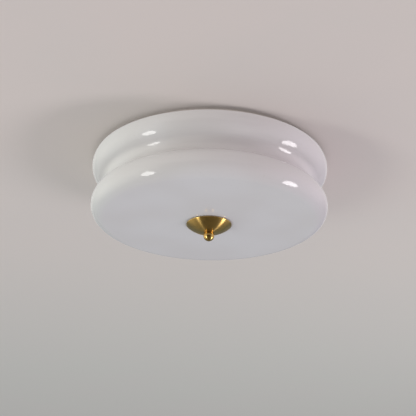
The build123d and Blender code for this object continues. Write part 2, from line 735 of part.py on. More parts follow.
def brass_cap():
    """Spun brass dome with a short straight edge and a flat tip."""
    outside = cap_wall(0)
    inside = cap_wall(cap_sheet)
    hole = Line(outside[-1] @ 1, inside[-1] @ 1)
    rim = Line(outside[0] @ 0, inside[0] @ 0)
    cap = turned(outside + [hole] + inside + [rim])
    for wall, bend in ((outside, cap_bend), (inside, cap_bend - cap_sheet)):
        corner = wall[1] @ 0
        bent_edge = cap.edges().sort_by_distance((-corner.X, 0, corner.Y))[0]
        cap = fillet(bent_edge, bend)
    return cap


def cap_felt():
    """Felt ring between the cap's rim and the glass."""
    outer = cap_radius - felt_setback
    return ring(outer, outer - felt_width, cap_rim_level, cap_rim_level + felt_thickness)


def ball_nut():
    """Solid brass ball, cut flat where it meets the cap and tapped for the rod."""
    ball = Pos(0, 0, ball_centre_level) * Sphere(ball_radius)
    ball = split(ball, Plane.XY.offset(ball_seat_level), keep=Keep.BOTTOM)
    depth = ball_seat_level - ball_hole_end
    hole = Cylinder(rod_radius + thread_gap, 2 * depth)
    return ball - Pos(0, 0, ball_seat_level) * hole


# ---------------------------------------------------------------- all pieces
pieces = {
    "ceiling_pan": ceiling_pan(),
    "mounting_strap": mounting_strap(),
    "pan_screws": pan_screws(),
    "centre_rod": centre_rod(),
    "rod_nuts": Compound([rod_nut_at(deck_top + rod_washer_thickness),
                          rod_nut_at(deck_bottom - rod_washer_thickness - rod_nut_height)]),
    "rod_washers": Compound([rod_washer_at(deck_top), rod_washer_at(deck_bottom - rod_washer_thickness)]),
    "stop_nut": rod_nut_at(stop_washer_bottom + rod_washer_thickness),
    "stop_washer": rod_washer_at(stop_washer_bottom),
    "bracket_screws": bracket_screws(),
    "bracket_nuts": bracket_nuts(),
    "nipple_nuts": Compound([along_lamp(nipple_nut(), side) for side in ("left", "right")]),
    "terminal_block": terminal_block(),
    "terminal_tubes": terminal_tubes(),
    "terminal_screws": terminal_screws(),
    "block_screws": block_screws(),
    "earth_wire": earth_wire(),
    "earth_ring": earth_ring(),
    "earth_washer": earth_washer(),
    "earth_screw": earth_screw(),
    "earth_nut": earth_nut(),
    "glass_shade": glass_shade(),
    "hole_bush": hole_bush(),
    "inner_rubber_washer": inner_rubber_washer(),
    "brass_cap": brass_cap(),
    "cap_felt": cap_felt(),
    "ball_nut": ball_nut(),
}
for side in ("left", "right"):
    pieces[side + "_bracket"] = on_side(bracket(), side)
    pieces[side + "_nipple"] = along_lamp(nipple(), side)
    pieces[side + "_holder_base"] = along_lamp(holder_base(), side)
    pieces[side + "_holder_sleeve"] = along_lamp(holder_sleeve(), side)
    pieces[side + "_holder_shell"] = along_lamp(holder_shell(), side)
    pieces[side + "_holder_contacts"] = along_lamp(holder_contacts(), side)
    pieces[side + "_grommet"] = on_side(grommet(), side)
    pieces[side + "_live_wire"] = lamp_wire(side, 0)
    pieces[side + "_neutral_wire"] = lamp_wire(side, pole_count - 1)
    pieces[side + "_bulb_contact"] = along_lamp(bulb_contact(), side)
    pieces[side + "_bulb_insulator"] = along_lamp(bulb_insulator(), side)
    pieces[side + "_bulb_cap"] = along_lamp(bulb_cap(), side)
    pieces[side + "_bulb_collar"] = along_lamp(bulb_collar(), side)
    pieces[side + "_bulb_globe"] = along_lamp(bulb_globe(), side)

os.makedirs("parts", exist_ok=True)
for name, piece in pieces.items():
    export_step(piece, f"parts/{name}.step")
print(len(pieces), "pieces; widest rib", round(2 * upper_rib_radius, 2), "overall height",
      round(ball_radius - ball_centre_level, 2))
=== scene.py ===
# %% [markdown]
# # A flush mount ceiling light
# The real light is a blown opal glass drum with two ribs, held up against the ceiling by a small
# brass cap and a ball nut. The CAD model gives every piece its place and size. This lesson dresses
# it: it spins the pieces whose surface is seen from close by, cuts their threads, and gives every
# piece a finish made of shader nodes. Lengths are in metres, and the ceiling is the plane z = 0.

import json
from math import acos, asin, atan, atan2, cos, dist, hypot, pi, radians, sin, tau

import bmesh
import bpy
from mathutils import Matrix, Vector


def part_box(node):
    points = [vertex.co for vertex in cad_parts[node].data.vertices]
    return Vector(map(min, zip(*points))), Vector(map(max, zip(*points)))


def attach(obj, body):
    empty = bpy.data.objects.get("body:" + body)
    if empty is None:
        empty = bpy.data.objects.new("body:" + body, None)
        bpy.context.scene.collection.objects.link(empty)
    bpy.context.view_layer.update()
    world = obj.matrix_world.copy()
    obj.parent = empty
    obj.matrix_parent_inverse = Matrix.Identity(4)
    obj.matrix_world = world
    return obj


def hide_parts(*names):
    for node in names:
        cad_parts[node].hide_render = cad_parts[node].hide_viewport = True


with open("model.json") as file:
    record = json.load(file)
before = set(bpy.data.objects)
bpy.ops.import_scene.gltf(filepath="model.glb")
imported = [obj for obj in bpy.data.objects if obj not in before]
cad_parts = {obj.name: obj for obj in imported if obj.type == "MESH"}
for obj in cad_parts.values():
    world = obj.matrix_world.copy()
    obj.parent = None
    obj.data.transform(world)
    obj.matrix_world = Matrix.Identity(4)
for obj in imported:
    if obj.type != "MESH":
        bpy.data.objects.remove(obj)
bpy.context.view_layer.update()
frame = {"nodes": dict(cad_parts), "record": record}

# %% [markdown]
# ## Writing node trees as arithmetic
# A finish is a small calculation over the surface: stretch a noise, mask it, mix two colours. It
# could be wired by hand with one line for each link, but then the sum can't be read any more. Here
# a Signal wraps the output of a node, and its operators add Math nodes, so the script reads like
# the sum. The same class serves the Geometry Nodes trees further down.

# %% A node tree that is written as expressions
class Signal:
    """The output of a node, on which Python arithmetic adds Math nodes."""

    def __init__(self, graph, socket):
        self.graph = graph
        self.socket = socket

    def __add__(self, other):
        return self.graph.math("ADD", self, other)

    def __sub__(self, other):
        return self.graph.math("SUBTRACT", self, other)

    def __rsub__(self, other):
        return self.graph.math("SUBTRACT", other, self)

    def __mul__(self, other):
        return self.graph.math("MULTIPLY", self, other)

    def __truediv__(self, other):
        return self.graph.math("DIVIDE", self, other)

    __radd__ = __add__


# A Mix node has a set of sockets for each kind of data; these are its colour sockets.
mix_share, mix_first, mix_second, mix_result = 0, 6, 7, 2


class Graph:
    """A node tree with one way to add any node."""

    def __init__(self, tree):
        self.tree = tree

    def add(self, kind, settings=None, sockets=None):
        """A new node: its settings first, then a value or a link for each socket named."""
        node = self.tree.nodes.new(kind)
        for name, value in (settings or {}).items():
            setattr(node, name, value)
        for name, value in (sockets or {}).items():
            if isinstance(value, Signal):
                self.tree.links.new(value.socket, node.inputs[name])
            else:
                node.inputs[name].default_value = value
        return node

    def signal(self, kind, settings=None, sockets=None, output=0):
        """The output of a new node."""
        return Signal(self, self.add(kind, settings, sockets).outputs[output])

    def math(self, operation, first, second=0.0):
        """One Math node."""
        return self.signal("ShaderNodeMath", {"operation": operation}, {0: first, 1: second})

    def step(self, value, low, high, smooth=True):
        """0 below low, 1 above high, and a ramp between them."""
        kind = "SMOOTHSTEP" if smooth else "LINEAR"
        return self.signal("ShaderNodeMapRange", {"interpolation_type": kind},
                           {"Value": value, "From Min": low, "From Max": high})

    def parts(self, vector):
        """The three components of a vector."""
        node = self.add("ShaderNodeSeparateXYZ", {}, {"Vector": vector})
        return [Signal(self, output) for output in node.outputs]

    def mix(self, share, first, second):
        """One colour turned into another by a share."""
        sockets = {mix_share: share, mix_first: first, mix_second: second}
        return self.signal("ShaderNodeMix", {"data_type": "RGBA"}, sockets, output=mix_result)


print("Signal and Graph are ready")

# %% [markdown]
# ## What every finish shares
# No real surface has one flat colour. Each finish below starts from the same few ingredients:
# noises in the piece's own coordinates, a mix of colours, and a bump for what the finger would
# feel. The class holds them, so that a finish is only the few lines that make it different.

# %% The base of every finish
def paint(red, green, blue):
    """A colour read off a screen, 0 to 255, as the linear colour a shader wants."""
    return tuple((c / 255 / 12.92 if c < 10 else ((c / 255 + 0.055) / 1.055) ** 2.4)
                 for c in (red, green, blue)) + (1.0,)


class Finish(Graph):
    """A material whose nodes end in one Principled shader."""

    def __init__(self, name):
        self.material = bpy.data.materials.new(name)
        self.material.use_nodes = True
        super().__init__(self.material.node_tree)
        self.shader = self.tree.nodes["Principled BSDF"]
        coordinates = self.add("ShaderNodeTexCoord")
        self.place = Signal(self, coordinates.outputs["Object"])
        self.facing = Signal(self, coordinates.outputs["Normal"])

    def noise(self, size, detail=2.0, roughness=0.5, stretch=(1, 1, 1)):
        """Noise from 0 to 1 whose patches are about this size, in metres."""
        place = self.signal("ShaderNodeVectorMath", {"operation": "MULTIPLY"},
                            {0: self.place, 1: stretch})
        return self.signal("ShaderNodeTexNoise", {}, {
            "Vector": place, "Scale": 1 / size, "Detail": detail, "Roughness": roughness})

    def bump(self, height, distance, strength=1.0):
        """A surface normal that is raised by a height of 0 to 1 over a distance in metres."""
        return self.signal("ShaderNodeBump", {}, {
            "Height": height, "Distance": distance, "Strength": strength})

    def set(self, **sockets):
        """Values or links for the Principled shader: base_color sets Base Color."""
        for name, value in sockets.items():
            label = " ".join(word if word == "IOR" else word.capitalize() for word in name.split("_"))
            if isinstance(value, Signal):
                self.tree.links.new(value.socket, self.shader.inputs[label])
            else:
                self.shader.inputs[label].default_value = value
        return self.material


print("Finish is ready")

# %% [markdown]
# ## Opal glass
# The shade is white glass, blown and fire-polished: milky and even inside, with a hard wet gloss
# on top that is never quite flat. A transparent shader with scattering would be slow and noisy and
# look the same, because the opal layer lets no shape through. So it is a pale glossy body with very
# faint clouds in the white, a few specks, some dust, and a slow ripple that makes the reflections
# waver.

# %% Finish of the shade
def opal_glass():
    glass = Finish("opal_glass")
    clouds = glass.noise(0.09, detail=1.0)
    white = glass.mix(glass.step(clouds, 0.3, 0.7), paint(209, 205, 205), paint(213, 210, 211))
    specks = glass.step(glass.noise(0.0022, detail=0.0), 0.80, 0.86)
    white = glass.mix(specks * 0.35, white, paint(196, 190, 184))
    ripple = glass.noise(0.045, detail=1.0)
    dimples = glass.noise(0.011, detail=0.0)
    dust = glass.step(glass.noise(0.03, detail=4.0), 0.45, 0.85)
    return glass.set(
        base_color=white, roughness=0.03 + dust * 0.04, IOR=1.5,
        normal=glass.bump(ripple + dimples * 0.05, 0.00018))


shade_glass = opal_glass()
print(shade_glass.name, "has", len(shade_glass.node_tree.nodes), "nodes")

# %% [markdown]
# ## Polished brass
# Cap and ball are spun and turned brass, polished and then handled for some years. What shows is a
# golden mirror with fine rings from the lathe, duller and greener where the polish went, and small
# dark spots. The rings are far finer than a pixel, so they are not modelled one by one: the shader's
# anisotropy spreads each reflection across them, which draws every light out into a streak that runs
# from rim to ball. The ball is turned from solid bar and is the sharper mirror, so it has the same
# recipe with a lower softness. Object coordinates have the centre rod as their axis, since a
# finished piece stays at the origin.

# %% Finish of cap and ball
def polished_brass(name, softness):
    brass = Finish(name)
    across, along, up = brass.parts(brass.place)
    radius = brass.math("SQRT", across * across + along * along)
    rings = brass.signal("ShaderNodeTexNoise", {"noise_dimensions": "1D"},
                         {"W": radius + up * 0.7, "Scale": 3600.0, "Detail": 2.0})
    tarnish = brass.step(brass.noise(0.006, detail=3.0), 0.42, 0.78)
    spots = brass.step(brass.noise(0.0011, detail=1.0), 0.70, 0.76)
    gold = brass.mix(tarnish, paint(222, 184, 110), paint(200, 168, 104))
    gold = brass.mix(spots * 0.5, gold, paint(116, 88, 46))
    around = brass.signal("ShaderNodeTangent", {"direction_type": "RADIAL", "axis": "Z"})
    return brass.set(
        base_color=gold, metallic=1.0, roughness=softness + tarnish * 0.05 + rings * 0.04,
        anisotropic=0.97, anisotropic_rotation=0.25, tangent=around,
        normal=brass.bump(rings, 0.000004))


cap_brass = polished_brass("spun_brass", 0.27)
ball_brass = polished_brass("turned_brass", 0.15)
print(cap_brass.name, "has", len(cap_brass.node_tree.nodes), "nodes")

# %% [markdown]
# ## Metals that stay hidden
# The strap, rod, nuts and brackets are zinc-plated steel, the nipples and shells are brass as it
# comes from the press, and the bulb caps are nickel-plated. They share one recipe: a metal whose
# colour drifts between two tints, with a grain that sets how soft its reflections are, and a few
# scratches. Only the numbers differ, so they are one function.

# %% Finish of hidden metals
def plain_metal(name, tint, shade, roughness, grain=0.0016):
    metal = Finish(name)
    drift = metal.step(metal.noise(0.012, detail=2.0), 0.35, 0.7)
    spangle = metal.noise(grain, detail=3.0, roughness=0.6)
    scratches = metal.step(metal.noise(0.0009, detail=1.0, stretch=(1, 0.05, 1)), 0.66, 0.74)
    colour = metal.mix(drift, paint(*tint), paint(*shade))
    return metal.set(
        base_color=metal.mix(scratches * 0.3, colour, paint(225, 224, 220)), metallic=1.0,
        roughness=roughness + (spangle - 0.5) * 0.16 + drift * 0.05,
        normal=metal.bump(spangle + scratches * 0.4, 0.00003))


zinc = plain_metal("zinc_plate", (196, 198, 200), (178, 177, 170), 0.34)
raw_brass = plain_metal("pressed_brass", (205, 172, 104), (182, 146, 84), 0.30)
nickel = plain_metal("nickel_plate", (205, 201, 192), (190, 184, 172), 0.20, grain=0.003)
tin = plain_metal("tinned_copper", (206, 205, 202), (188, 184, 176), 0.28)
print("four hidden metals")

# %% [markdown]
# ## Powder coat
# The pan is deep-drawn steel with a white powder coat. Powder melts into a skin with a fine orange
# peel, which is a soft noise used as bump, and it is a little thinner and greyer in patches. Two
# sizes of noise are enough: one for the peel, one for the patches.

# %% Finish of the pan
def powder_coat():
    coat = Finish("powder_coat")
    peel = coat.noise(0.0014, detail=1.0)
    patches = coat.step(coat.noise(0.05, detail=3.0), 0.35, 0.75)
    dust = coat.step(coat.noise(0.009, detail=5.0, roughness=0.7), 0.56, 0.72)
    white = coat.mix(patches, paint(226, 226, 223), paint(217, 216, 212))
    return coat.set(
        base_color=coat.mix(dust * 0.25, white, paint(190, 186, 178)),
        roughness=0.36 + patches * 0.08 + dust * 0.15, normal=coat.bump(peel, 0.00008))


pan_coat = powder_coat()
print(pan_coat.name, "is ready")

# %% [markdown]
# ## Mouldings, rubber and wire
# Lampholders, terminal block, grommets and wire jackets are all moulded. A moulding shows flow
# marks and a faint skin texture; rubber is the same with a rougher skin and dust in it. The earth
# wire is green with a yellow stripe along two sides, which the direction of the surface gives: a
# wire that lies flat has its stripe where it faces up or down.

# %% Finish of mouldings, rubber and wire jackets
def moulded(name, light, dark, roughness, skin=0.0012, depth=0.00004, dusty=0.15):
    plastic = Finish(name)
    flow = plastic.step(plastic.noise(0.015, detail=2.0, stretch=(1, 0.4, 1)), 0.3, 0.75)
    pores = plastic.noise(skin, detail=2.0)
    dust = plastic.step(plastic.noise(0.004, detail=4.0, roughness=0.7), 0.55, 0.75)
    colour = plastic.mix(flow, paint(*light), paint(*dark))
    return plastic.set(
        base_color=plastic.mix(dust * dusty, colour, paint(168, 160, 148)),
        roughness=roughness + (pores - 0.5) * 0.10 + dust * 0.12, normal=plastic.bump(pores, depth))


def striped_jacket():
    jacket = Finish("earth_jacket")
    upward = jacket.parts(jacket.facing)[2]
    stripe = jacket.step(jacket.math("ABSOLUTE", upward), 0.74, 0.80)
    skin = jacket.noise(0.0015, detail=2.0)
    colour = jacket.mix(stripe, paint(58, 130, 52), paint(222, 200, 62))
    return jacket.set(base_color=jacket.mix(skin * 0.25, colour, paint(110, 116, 70)),
                      roughness=0.42 + skin * 0.1, normal=jacket.bump(skin, 0.00004))


holder_white = moulded("holder_moulding", (232, 231, 226), (224, 222, 214), 0.30)
bulb_white = moulded("bulb_body", (236, 236, 234), (228, 228, 225), 0.26)
nylon = moulded("natural_nylon", (226, 222, 208), (214, 208, 190), 0.42)
vitrite = moulded("black_insulator", (24, 24, 28), (14, 14, 16), 0.14, dusty=0.04)
black_rubber = moulded("black_rubber", (38, 38, 39), (28, 28, 29), 0.62, depth=0.00009, dusty=0.22)
grey_rubber = moulded("grey_rubber", (124, 124, 122), (108, 108, 105), 0.60, depth=0.00009)
brown_jacket = moulded("brown_jacket", (104, 62, 36), (90, 52, 30), 0.40)
blue_jacket = moulded("blue_jacket", (52, 96, 168), (44, 84, 150), 0.40)
green_jacket = striped_jacket()
print("mouldings, rubbers and jackets are ready")

# %% [markdown]
# ## Felt and bulb glass
# A felt ring keeps the brass from scratching the glass. Felt is a mat of short fibres, so it needs
# two noises: one for the fibres and one for thin places. The bulbs are small globes with an opal
# coat, finer and drier than the shade's.

# %% Finish of felt and bulbs
def wool_felt():
    felt = Finish("wool_felt")
    fibres = felt.noise(0.0005, detail=4.0, roughness=0.7)
    thin = felt.step(felt.noise(0.004, detail=2.0), 0.4, 0.7)
    colour = felt.mix(fibres, paint(150, 144, 132), paint(206, 200, 188))
    return felt.set(base_color=felt.mix(thin * 0.3, colour, paint(128, 122, 112)),
                    roughness=0.86 + fibres * 0.1, normal=felt.bump(fibres, 0.0003))


def coated_globe():
    coat = Finish("bulb_glass")
    cloud = coat.step(coat.noise(0.02, detail=2.0), 0.3, 0.7)
    grain = coat.noise(0.0007, detail=1.0)
    return coat.set(base_color=coat.mix(cloud, paint(238, 237, 232), paint(231, 229, 222)),
                    roughness=0.22 + grain * 0.1, normal=coat.bump(grain, 0.00002))


ring_felt = wool_felt()
globe_glass = coated_globe()
print("felt and bulb glass are ready")

# %% [markdown]
# ## Give the CAD pieces their finish
# Most pieces have the right shape already: the strap, the brackets, the nuts, the block. They keep
# their CAD mesh and only get a finish in its slot, by name. Pieces of the left and the right lamp
# share a finish, so each kind is listed once, under its name without the side.

# %% Assign finishes to CAD nodes
finish_groups = [
    (shade_glass, "glass_shade"),
    (cap_brass, "brass_cap"),
    (ball_brass, "ball_nut"),
    (ring_felt, "cap_felt"),
    (grey_rubber, "hole_bush"),
    (black_rubber, "inner_rubber_washer grommet"),
    (pan_coat, "ceiling_pan"),
    (zinc, "mounting_strap pan_screws centre_rod rod_nuts rod_washers stop_nut stop_washer "
           "bracket bracket_screws bracket_nuts terminal_screws block_screws"),
    (raw_brass, "nipple nipple_nuts holder_shell holder_contacts terminal_tubes "
                "earth_washer earth_screw earth_nut"),
    (holder_white, "holder_base holder_sleeve"),
    (nylon, "terminal_block"),
    (brown_jacket, "live_wire"),
    (blue_jacket, "neutral_wire"),
    (green_jacket, "earth_wire"),
    (tin, "earth_ring bulb_contact"),
    (vitrite, "bulb_insulator"),
    (nickel, "bulb_cap"),
    (bulb_white, "bulb_collar"),
    (globe_glass, "bulb_globe"),
]
finishes = {kind: finish for finish, kinds in finish_groups for kind in kinds.split()}


def finish_of(node):
    """The finish of a CAD node, by its name with or without the side."""
    return finishes.get(node) or finishes[node.split("_", 1)[1]]


for name, piece in frame["nodes"].items():
    piece.data.materials.clear()
    piece.data.materials.append(finish_of(name))
print(len(frame["nodes"]), "CAD nodes have a finish")

# %% [markdown]
# ## Spinning a piece
# Glass, cap, ball and bulb are all round about an axis. A Screw modifier could spin an outline,
# but the poles and the closing seam then need cleaning. A short function that lays out the rings
# itself gives a closed mesh at once: one ring of points for each point of the outline, and a
# single point where the outline meets the axis.

# %% A lathe
ring_steps = 192
same_point = 1e-6
on_axis = 1e-7


def new_object(name, mesh):
    """An object at the origin that shows a mesh."""
    piece = bpy.data.objects.new(name, mesh)
    bpy.context.scene.collection.objects.link(piece)
    return piece


def arc(centre, radius, start, end, count):
    """Points of an arc in the plane of radius and height; angles in radians."""
    return [(centre[0] + radius * cos(start + (end - start) * i / count),
             centre[1] + radius * sin(start + (end - start) * i / count))
            for i in range(count + 1)]


def without_repeats(points):
    """The closed outline without points that lie on the one before them."""
    kept = []
    for point in points:
        if not kept or dist(point, kept[-1]) > same_point:
            kept.append(point)
    if dist(kept[0], kept[-1]) <= same_point:
        kept.pop()
    return kept


def spin(name, outline, steps=ring_steps):
    """A closed mesh object from a closed outline of (radius, height), spun about Z."""
    shape = bmesh.new()
    rings = []
    for radius, height in without_repeats(outline):
        angles = [tau * k / steps for k in range(1 if radius < on_axis else steps)]
        rings.append([shape.verts.new((radius * cos(angle), radius * sin(angle), height))
                      for angle in angles])
    for here, there in zip(rings, rings[1:] + rings[:1]):
        for k in range(steps):
            corners = []
            for ring, index in ((here, k), (here, k + 1), (there, k + 1), (there, k)):
                corner = ring[index % len(ring)]
                if corner not in corners:
                    corners.append(corner)
            if len(corners) > 2:
                shape.faces.new(corners)
    bmesh.ops.recalc_face_normals(shape, faces=shape.faces)
    mesh = bpy.data.meshes.new(name)
    shape.to_mesh(mesh)
    shape.free()
    for face in mesh.polygons:
        face.use_smooth = True
    return new_object(name, mesh)


# %% [markdown]
# ## Letting a piece stand for a CAD node
# A piece made here takes the place of one CAD node: it rides on the same body, has the same
# material slot, and lies where the node lies. Its mesh is moved instead of its object, so that the
# object stays at the origin and the noises of its finish are read in one frame.

# %% Place a piece
body_of_node = {node: body for body, nodes in frame["record"]["behaviour"]["bodies"].items()
                for node in nodes}


def lay(shape, mesh, place):
    """Add a copy of a mesh to a shape, at its place."""
    there = set(shape.verts)
    shape.from_mesh(mesh)
    bmesh.ops.transform(shape, matrix=place, verts=[v for v in shape.verts if v not in there])


def settle(piece, material, node, place=Matrix.Identity(4)):
    """Move a piece made about Z to its place, give it its finish and let it stand for a node."""
    mesh = piece.data
    mesh.transform(place)
    mesh.materials.clear()
    mesh.materials.append(material)
    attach(piece, body_of_node[node])
    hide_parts(node)
    print(piece.name, "stands for", node, "with", len(mesh.polygons), "faces")


# %% [markdown]
# ## The glass shade
# The profile is a row of arcs that run into each other without a corner: the upper rib, the hollow
# of the groove, the lower rib, the tight turn under it and the long, almost flat crown. The few
# sizes that shape it are the ones the CAD part uses; its levels come from the CAD box. The inside
# is the same row of arcs, one wall thickness further in, and a half round closes the rim.

# %% Spin the shade
shade_low, shade_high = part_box("glass_shade")
glass_wall = 0.0035
lower_rib_step = 0.001
rim_height = 0.011
groove_depth = 0.0165
groove_bend = 0.0105
turn_under = 0.0175
underside_drop = 0.0186
hole_radius = 0.0065
shade_steps = 320

upper_radius = shade_high.x
lower_radius = upper_radius - lower_rib_step
groove_radius = lower_radius - groove_depth
upper_level = shade_high.z - rim_height
lower_level = shade_low.z + underside_drop
groove_level = (upper_level + lower_level) / 2


def rib(rib_radius):
    """Rounding of a rib and the angle at which it meets the groove."""
    rise = (upper_level - lower_level) / 2
    angle = 2 * atan((rib_radius - groove_radius) / rise)
    return rise / sin(angle) - groove_bend, angle


def shade_side(inset):
    """The outline from rim to hole, moved in by inset."""
    upper_round, upper_angle = rib(upper_radius)
    lower_round, lower_angle = rib(lower_radius)
    rim_angle = asin((rim_height - glass_wall / 2) / upper_round)
    reach = lower_radius - turn_under
    crown = (reach**2 + underside_drop**2 - turn_under**2) / (2 * (underside_drop - turn_under))
    crown_level = shade_low.z + crown
    turn_end = atan2(lower_level - crown_level, reach)
    hole_angle = -acos(hole_radius / (crown - inset))
    return (
        arc((upper_radius - upper_round, upper_level), upper_round - inset, rim_angle,
            -upper_angle, 28)
        + arc((groove_radius + groove_bend, groove_level), groove_bend + inset, pi - upper_angle,
              pi + lower_angle, 26)
        + arc((lower_radius - lower_round, lower_level), lower_round - inset, lower_angle, 0, 20)
        + arc((reach, lower_level), turn_under - inset, 0, turn_end, 22)
        + arc((0, crown_level), crown - inset, turn_end, hole_angle, 24))


outside = shade_side(0.0)
inside = shade_side(glass_wall)
rim_middle = ((outside[0][0] + inside[0][0]) / 2, (outside[0][1] + inside[0][1]) / 2)
rim_lean = atan2(outside[0][1] - inside[0][1], outside[0][0] - inside[0][0])
rim = arc(rim_middle, glass_wall / 2, rim_lean + pi, rim_lean, 8)
shade = spin("opal_shade", outside + inside[::-1] + rim, steps=shade_steps)
settle(shade, shade_glass, "glass_shade")

# %% [markdown]
# ## The cap
# The cap is spun sheet: a short straight edge, a bend, a shallow dome and a flat tip for the ball.
# The dome is part of a sphere whose centre lies on the rod, at the height from which edge and tip
# are equally far. Only the sheet and the bend have sizes of their own; the rest comes from the box
# of the CAD node.

# %% Spin the cap
cap_low, cap_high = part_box("brass_cap")
sheet = 0.0008
edge_height = 0.0008
edge_bend = 0.0012
rod_hole = 0.0033
seat_radius = 0.0059

dome_foot = cap_high.z - edge_height
dome_centre = (cap_high.x**2 - seat_radius**2 + dome_foot**2 - cap_low.z**2) / (
    2 * (dome_foot - cap_low.z))
dome_radius = hypot(cap_high.x, dome_centre - dome_foot)


def cap_side(inset):
    """The cap's outline from rim to hole, moved in by inset."""
    radius = dome_radius - inset
    wall = cap_high.x - inset
    bend = edge_bend - inset
    bend_reach = wall - bend
    bend_angle = -acos(bend_reach / (radius - bend))
    bend_level = dome_centre + (radius - bend) * sin(bend_angle)
    tip_angle = asin((cap_low.z + inset - dome_centre) / radius)
    return ([(wall, cap_high.z)] + arc((bend_reach, bend_level), bend, 0, bend_angle, 8)
            + arc((0, dome_centre), radius, bend_angle, tip_angle, 40)
            + [(rod_hole, cap_low.z + inset)])


cap = spin("spun_cap", cap_side(0.0) + cap_side(sheet)[::-1])
settle(cap, cap_brass, "brass_cap")

# %% [markdown]
# ## Ball and felt
# The ball is turned from bar, with a flat on top where it meets the cap, and a tapped hole that
# ends above its lowest point. The felt is a flat ring punched from sheet. The punch presses its
# outer corners in a little, so they are cut off.

# %% Spin ball and felt
ball_low, ball_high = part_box("ball_nut")
ball_radius = ball_high.x
ball_centre = ball_low.z + ball_radius
seat_angle = asin((ball_high.z - ball_centre) / ball_radius)
bore = 0.00305
bore_floor = ball_low.z + 0.0029
ball_side = arc((0, ball_centre), ball_radius, -pi / 2, seat_angle, 40)
ball_hole = [(bore, ball_high.z), (bore, bore_floor), (0, bore_floor)]
ball = spin("ball", [(0, ball_low.z)] + ball_side[1:] + ball_hole, steps=96)
settle(ball, ball_brass, "ball_nut")

felt_low, felt_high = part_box("cap_felt")
felt_width = 0.003
felt_edge = 0.0003
felt_inner = felt_high.x - felt_width
felt_flat = felt_high.x - felt_edge
felt = spin("felt_ring", [
    (felt_inner, felt_low.z), (felt_flat, felt_low.z), (felt_high.x, felt_low.z + felt_edge),
    (felt_high.x, felt_high.z - felt_edge), (felt_flat, felt_high.z), (felt_inner, felt_high.z)])
settle(felt, ring_felt, "cap_felt")

# %% [markdown]
# ## Threads that follow a rule
# A thread is a wave wound round a cylinder: a point lies on the crest where its height, counted in
# pitches, and its angle, counted in turns, differ by a whole number. That one rule makes the rod,
# the screws and the rolled caps of the bulbs, so it is a Geometry Nodes tree with the sizes as its
# inputs. The wave fades out over the last pitch at both ends, as a die leaves it.

# %% The thread tree
def thread_tree():
    tree = bpy.data.node_groups.new("rolled_thread", "GeometryNodeTree")
    for name, kind in (("Radius", "Float"), ("Depth", "Float"), ("Pitch", "Float"),
                       ("Length", "Float"), ("Sides", "Int"), ("Rows", "Int"),
                       ("Material", "Material")):
        tree.interface.new_socket(name, in_out="INPUT", socket_type="NodeSocket" + kind)
    tree.interface.new_socket("Thread", in_out="OUTPUT", socket_type="NodeSocketGeometry")
    graph = Graph(tree)
    size = {output.name: Signal(graph, output) for output in graph.add("NodeGroupInput").outputs}
    blank = graph.signal("GeometryNodeMeshCylinder", {"fill_type": "NGON"}, {
        "Vertices": size["Sides"], "Side Segments": size["Rows"], "Radius": size["Radius"],
        "Depth": size["Length"]})
    place = graph.signal("GeometryNodeInputPosition")
    across, along, height = graph.parts(place)
    turns = height / size["Pitch"] - graph.math("ARCTAN2", along, across) / tau
    crest = graph.math("COSINE", turns * tau) * 0.5 + 0.5
    to_end = size["Length"] * 0.5 - graph.math("ABSOLUTE", height)
    fade = graph.step(to_end / size["Pitch"], 0.0, 1.0)
    share = 1.0 - size["Depth"] * (1.0 - crest * fade) / size["Radius"]
    scale = graph.signal("ShaderNodeCombineXYZ", {}, {0: share, 1: share, 2: 1.0})
    moved = graph.signal("ShaderNodeVectorMath", {"operation": "MULTIPLY"}, {0: place, 1: scale})
    thread = graph.signal("GeometryNodeSetPosition", {}, {"Geometry": blank, "Position": moved})
    thread = graph.signal("GeometryNodeRealizeInstances", {}, {"Geometry": thread})
    thread = graph.signal("GeometryNodeSetMaterial", {}, {
        "Geometry": thread, "Material": size["Material"]})
    graph.add("NodeGroupOutput", {}, {"Thread": thread})
    return tree


rolled_thread = thread_tree()
print("thread tree with", len(rolled_thread.nodes), "nodes")

# %% [markdown]
# ## The rod
# A modifier left on the piece would be worked out again at every change, so each thread is made
# once, turned into a plain mesh, and the modifier taken off. The centre rod is the longest one: an
# M6 thread from end to end, as such rod is sold by the metre.

# %% Cut the rod
rows_per_pitch = 8


def cut_thread(name, radius, depth, pitch, length, sides, material):
    """A threaded cylinder about Z, centred on the origin, as a plain mesh object."""
    piece = new_object(name, bpy.data.meshes.new(name))
    modifier = piece.modifiers.new("thread", "NODES")
    modifier.node_group = rolled_thread
    values = {"Radius": radius, "Depth": depth, "Pitch": pitch, "Length": length, "Sides": sides,
              "Rows": round(length / pitch * rows_per_pitch), "Material": material}
    for socket in rolled_thread.interface.items_tree:
        if socket.name in values:
            modifier[socket.identifier] = values[socket.name]
    view = bpy.context.evaluated_depsgraph_get()
    mesh = bpy.data.meshes.new_from_object(piece.evaluated_get(view))
    piece.modifiers.remove(modifier)
    piece.data = mesh
    for face in mesh.polygons:
        face.use_smooth = len(face.vertices) == 4
    return piece


rod_pitch = 0.001
rod_depth = 0.0006
rod_sides = 28
rod_low, rod_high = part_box("centre_rod")
rod = cut_thread("threaded_rod", rod_high.x, rod_depth, rod_pitch, rod_high.z - rod_low.z,
                 rod_sides, zinc)
settle(rod, zinc, "centre_rod", Matrix.Translation((0, 0, (rod_low.z + rod_high.z) / 2)))

# %% [markdown]
# ## Screws with a cut shank
# The CAD screws have a good head with a cross recess, but a plain shank. Each keeps its head: the
# shank's points are drawn in to just under the root of the thread, and a threaded cylinder is laid
# round it. Two screws of a kind lie in one node, at opposite corners of its box.

# %% Cut the screws
screw_head_radius = 0.004
screw_head_height = 0.0026
screw_radius = 0.002
screw_pitch = 0.0007
screw_depth = 0.00038
screw_sides = 20
under_root = 0.1 * screw_depth
core_radius = screw_radius - screw_depth - under_root
above_head = 1e-5
merged = 1e-7


